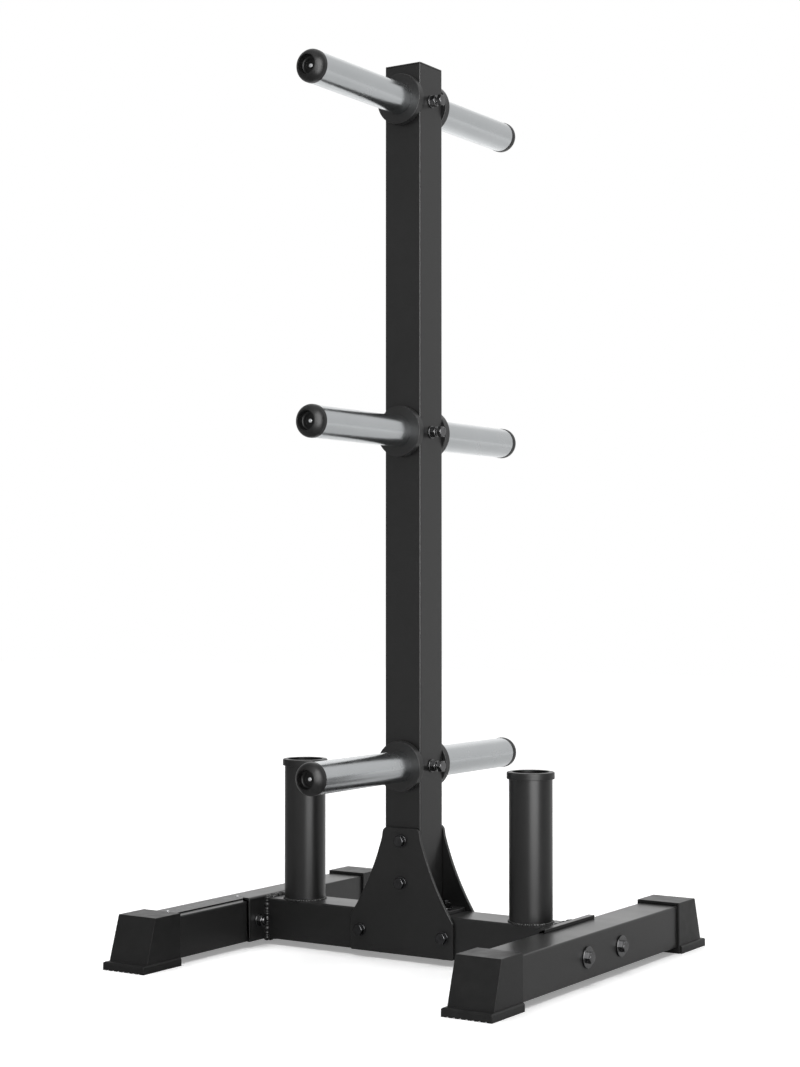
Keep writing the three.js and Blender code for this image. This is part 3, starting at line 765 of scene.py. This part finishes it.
for side, sign in SIDES.items():
    foot = Span("foot_tube_" + side)
    x = foot.middle[0]
    skins = [square_tube("+y", foot.low[1], foot.high[1], (x, crossbar_axis))]
    piece(f"foot_{side}_finished", paint, skins, ["foot_tube_" + side])

    node = "end_plate_" + side
    piece(f"{node}_finished", paint, [end_plate(Span(node), sign)], [node])
    seat = (sign * (crossbar.high[0] + SEAT), 0, 0)
    outline = square(TUBE_SIDE, TUBE_CORNER, (0, crossbar_axis))
    bead = weld(outline, "+x", seat, CROSSBAR_BEAD, CROSSBAR_BEAD_PITCH)
    piece(f"crossbar_weld_{side}", weld_paint, [bead])

    for end, way in ENDS.items():
        node = f"foot_boot_{side}_{end}"
        skins = boot(x, way * BOOT_MOUTH, signed("y", way), Span(node))
        piece(node + "_finished", boot_rubber, skins, [node])

# The bare plate on the left foot, with its rivets
PLATE_MIDDLE = (-303, -146)
PLATE_SIZE = (40, 192)
PLATE_THICKNESS = 1.6
PLATE_CORNER = 3
RIVET_SPACING = 176
RIVET_RADIUS = 3
RIVET_HEIGHT = 1.4
plate_base = crossbar_top + SEAT
outline = rectangle(*PLATE_SIZE, PLATE_CORNER, 5, 0.3, PLATE_MIDDLE)
skins = [carry(outline, slab_profile(PLATE_THICKNESS, 0.3, 2), "+z", (0, 0, plate_base))]
piece("bare_plate", plate_metal, skins)
corners = [(0.3, RIVET_HEIGHT), (2.2, 1.2), (RIVET_RADIUS, 0), (RIVET_RADIUS, -1), (0.5, -1)]
rivet = bent(corners, [2, 0.4, 0.2], 4, 0.05)[0]
for end, way in ENDS.items():
    place = (PLATE_MIDDLE[0], PLATE_MIDDLE[1] + way * RIVET_SPACING / 2, plate_base + PLATE_THICKNESS)
    piece("plate_rivet_" + end, bright_zinc, [turned(rivet, "+z", place, 40)])


# Sleeves, collars and caps
SLEEVE_RADIUS = 24.15
SLEEVE_WALL = 3.25
COLLAR_RADIUS = 39.3
COLLAR_EDGE = 1
CAP_RADIUS = 24.8
CAP_TURN = math.radians(35)
CAP_NOSE = 15.2
CAP_RECESS = 14.7
CAP_RIM = 5
CAP_FLOOR = 7
CAP_STEP = 0.8
CAP_STEP_RADIUS = 9
SPIGOT_RADIUS = 20.6
SPIGOT_LENGTH = 9
SCREW_RADIUS = 2.5
SCREW_LENGTH = 21
SCREW_HEAD = 4.15
SCREW_HEIGHT = 2.6
SOCKET_RADIUS = 0.9
SOCKET_DEPTH = 1.5


def dome(length):
    """The profile of a cap: a rim, a dome, and a recess in its nose.

    The dome is the part of an ellipse from its widest point to an angle T. With t from 0 to T its radius
    falls by 1 - cos t and its height grows by sin t, each as a share of its value at T.
    """
    turn = np.linspace(0, CAP_TURN, 16)
    out = CAP_RADIUS - (CAP_RADIUS - CAP_NOSE) * (1 - np.cos(turn)) / (1 - math.cos(CAP_TURN))
    curve = np.stack([out, CAP_RIM + (length - CAP_RIM) * np.sin(turn) / math.sin(CAP_TURN)], -1)
    base = bent([(10, 0), (CAP_RADIUS, 0), (CAP_RADIUS, CAP_RIM - 1)], 0.5, 3, 0.3)[0]
    step, bottom = CAP_STEP_RADIUS, CAP_FLOOR - CAP_STEP
    corners = [(CAP_NOSE, length), (CAP_RECESS, length), (CAP_RECESS, CAP_FLOOR)]
    corners += [(step, CAP_FLOOR), (step, bottom), (SCREW_RADIUS + 0.5, bottom)]
    recess = bent(corners, [0.2, 3, 0.2, 0.2], 5, 0.15)[0]
    return np.concatenate([base, curve, recess[1:]])


def cap_screw():
    """A pan head with a socket, and the screw under it, from the socket's floor outwards and down."""
    seat = CAP_FLOOR - CAP_STEP + 0.15
    face = seat + SCREW_HEIGHT
    corners = [(SOCKET_RADIUS, face - SOCKET_DEPTH), (SOCKET_RADIUS, face)]
    corners += [(SCREW_HEAD, face), (SCREW_HEAD, seat)]
    corners += [(SCREW_RADIUS, seat), (SCREW_RADIUS, -SCREW_LENGTH), (1, -SCREW_LENGTH)]
    return bent(corners, [0.15, 2.3, 0.1, 0.1, 0.4], 8, 0.05)[0]


for level in LEVELS:
    for end, way in ENDS.items():
        place = f"{level}_{end}"
        axis = signed("y", way)
        collar = Span("collar_" + place)
        centre = collar.middle * (0, 0, 1)
        root, face = collar.reach(1)
        bore = SLEEVE_RADIUS + 0.05
        corners = [(bore, root), (COLLAR_RADIUS, root), (COLLAR_RADIUS, face), (bore, face)]
        profile = rounded(corners, [0.15, 1, COLLAR_EDGE, 0.15], 5, 0.2)[0]
        skins = [turned(profile, axis, centre, 96, ring=True)]
        piece(f"collar_{place}_finished", collar_paint, skins, ["collar_" + place])

        root, tip = Span("sleeve_" + place).reach(1)
        profile = ring_profile(SLEEVE_RADIUS - SLEEVE_WALL, SLEEVE_RADIUS, root, tip, 0.3)
        skins = [turned(profile, axis, centre, 96, ring=True)]
        piece(f"sleeve_{place}_finished", chrome, skins, ["sleeve_" + place])

        nose = Span("end_cap_" + place).reach(1)[1]
        origin = centre + (0, way * (tip + SEAT), 0)
        corners = [(4, -SPIGOT_LENGTH), (SPIGOT_RADIUS, -SPIGOT_LENGTH), (SPIGOT_RADIUS, 0.5), (4, 0.5)]
        spigot = bent(corners, 0.5, 2, 0.2)[0]
        skins = [turned(dome(nose - tip - SEAT), axis, origin), turned(spigot, axis, origin, 48)]
        piece(f"cap_{place}_finished", cap_plastic, skins, ["end_cap_" + place])
        skins = [turned(cap_screw(), axis, origin, 48)]
        piece(f"cap_screw_{place}_finished", bright_zinc, skins, ["cap_screw_" + place])

# Bar holders
HOLDER_RADIUS = 33
HOLDER_WALL = 3
RIM_BORE = 28
RIM_DEPTH = 10.5
RIM_SKIRT = 3

for side in SIDES:
    holder = Span("holder_tube_" + side)
    origin = holder.middle * (1, 0, 0)
    bore = HOLDER_RADIUS - HOLDER_WALL
    profile = ring_profile(bore, HOLDER_RADIUS, holder.low[2], holder.high[2], TUBE_EDGE)
    skins = [turned(profile, "+z", origin, 96, ring=True)]
    piece(f"holder_{side}_finished", paint, skins, ["holder_tube_" + side])
    centres, out = circle(96)
    bead = weld((centres + out * HOLDER_RADIUS, out), "+z", origin + (0, 0, crossbar_top))
    piece(f"holder_weld_{side}", weld_paint, [bead])

    rim = Span("holder_rim_" + side)
    top, grip = rim.high[2], HOLDER_RADIUS + FIT
    wide = grip + RIM_SKIRT
    seat = holder.high[2] + SEAT
    corners = [(grip, top - RIM_DEPTH), (wide, top - RIM_DEPTH), (wide, top)]
    corners += [(RIM_BORE, top), (RIM_BORE, seat), (grip, seat)]
    profile = rounded(corners, [0.4, 0.6, 2, 0.6, 0.3, 0.3], 5, 0.1)[0]
    skins = [turned(profile, "+z", origin, 96, ring=True)]
    piece(f"rim_{side}_finished", rim_plastic, skins, ["holder_rim_" + side])

# Bars inside the sleeves keep their solids
for level in LEVELS:
    for material_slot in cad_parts["core_bar_" + level].material_slots:
        material_slot.link = "OBJECT"
        material_slot.material = core_steel

# What mirrors show of the room and of the floor near the stand, by the bearing in degrees from the front
# towards the right: a dark card stands at the left. Between the two distances, in metres, the floor's level
# goes from one to the other, and the camera sees its glow grow towards white.
ROOM = [(-180, 0.85), (-150, 1.18), (-128, 0.6), (-108, 0.24), (-85, 0.12), (-55, 0.27), (-30, 0.47),
        (10, 0.8), (40, 0.8), (85, 0.45), (105, 0.43), (145, 0.75), (180, 0.8)]
NEAR = [(-180, 0.66), (-150, 0.6), (-110, 0.34), (-60, 0.2), (-10, 0.24), (20, 0.3), (60, 0.44),
        (100, 0.42), (150, 0.47), (180, 0.6)]
BRIGHTEST = 1.5
NEAR_REACH = 0.6
FAR_REACH = 5
FLOOR_REACH = 9
FLOOR_WHITE = 0.95
NEAR_GLOW = 0.28
FAR_GLOW = 0.8
AMBIENT = 0.3


def room_level(look, place, levels):
    """The level that mirrors show towards a direction or a place on the floor: its bearing read on a ramp.

    A ramp's colours end at 1, so it holds the levels as shares of the brightest one.
    """
    across = look.node("SeparateXYZ", {}, {0: place}, output="X")
    back = look.node("SeparateXYZ", {}, {0: place}, output="Y")
    bearing = across.maths("ARCTAN2", across, back * -1)
    stops = [((angle + 180) / 360, level / BRIGHTEST) for angle, level in levels]
    return look.node("ValToRGB", {"stops": stops}, {0: bearing * (0.5 / math.pi) + 0.5}) * BRIGHTEST


def light_paths(look):
    """Whether the camera looks at a point, and whether a mirror or a glass does."""
    rays = ("Is Camera Ray", "Is Glossy Ray", "Is Transmission Ray")
    seen, mirrored, through = (look.node("LightPath", output=name) for name in rays)
    return seen, mirrored + through


# Floor: white with the object's shadow. For mirrors its colour and glow are painted with the room's light
# levels, so they see it as pale or dark as the room behind it.
floor_mesh = bpy.data.meshes.new("floor")
corners = np.array([(-1, -1, 0), (1, -1, 0), (1, 1, 0), (-1, 1, 0)]) * FLOOR_REACH
floor_mesh.from_pydata(corners.tolist(), [], [(0, 1, 2, 3)])
floor = bpy.data.objects.new("floor", floor_mesh)
bpy.context.scene.collection.objects.link(floor)
pale = finish("pale_floor")
seen, mirrored = light_paths(pale)
place = pale.node("TexCoord", output="Object")
distance = pale.node("VectorMath", {"operation": "LENGTH"}, {0: place}, output="Value")
far = pale.node("MapRange", {}, {"Value": distance, "From Min": NEAR_REACH, "From Max": FAR_REACH})
near_level = room_level(pale, place, NEAR)
level = near_level + (room_level(pale, place, ROOM) - near_level) * far
pale.surface(
    Base_Color=FLOOR_WHITE + mirrored * (level - FLOOR_WHITE),
    Roughness=1.0,
    Specular_IOR_Level=0.0,
    Emission_Color=(seen + mirrored * level) * (far * (FAR_GLOW - NEAR_GLOW) + NEAR_GLOW),
    Emission_Strength=1.0,
)
floor_mesh.materials.append(pale.owner)

# Light: the room, a soft overhead box, and at the right a tall box above a low one that only reflections show
room = Finish(bpy.data.worlds.new("studio"))
bpy.context.scene.world = room.owner
seen, mirrored = light_paths(room)
level = room_level(room, room.node("TexCoord", output="Generated"), ROOM)
strength = AMBIENT + seen * (1 - AMBIENT) + mirrored * (level - AMBIENT)
background = room.node("Background", {}, {"Color": strength, "Strength": 1.0})
room.node("OutputWorld", {}, {"Surface": background})


def soft_box(name, place, aim, width, height, watts, lights=True):
    """An area lamp at a place, turned to face a point. It lights the room, or only shows in reflections."""
    lamp = bpy.data.lights.new(name, "AREA")
    lamp.shape = "RECTANGLE"
    lamp.size, lamp.size_y = width, height
    lamp.energy = watts
    made = bpy.data.objects.new(name, lamp)
    made.location = place
    made.rotation_euler = (Vector(aim) - Vector(place)).to_track_quat("-Z", "Y").to_euler()
    made.visible_camera = False
    made.visible_diffuse = lights
    made.visible_glossy = not lights
    bpy.context.scene.collection.objects.link(made)


SIDE_BOX = (1.04, -0.78)
SIDE_BOX_WIDTH = 0.9
soft_box("overhead_box", (0, 0, 3.6), (0, 0, 0), 3.4, 3.4, 125)
soft_box("tall_box", (*SIDE_BOX, 1.275), (0, 0, 1.275), SIDE_BOX_WIDTH, 1.85, 38, lights=False)
soft_box("low_box", (*SIDE_BOX, 0.175), (0, 0, 0.175), SIDE_BOX_WIDTH, 0.35, 4.8, lights=False)
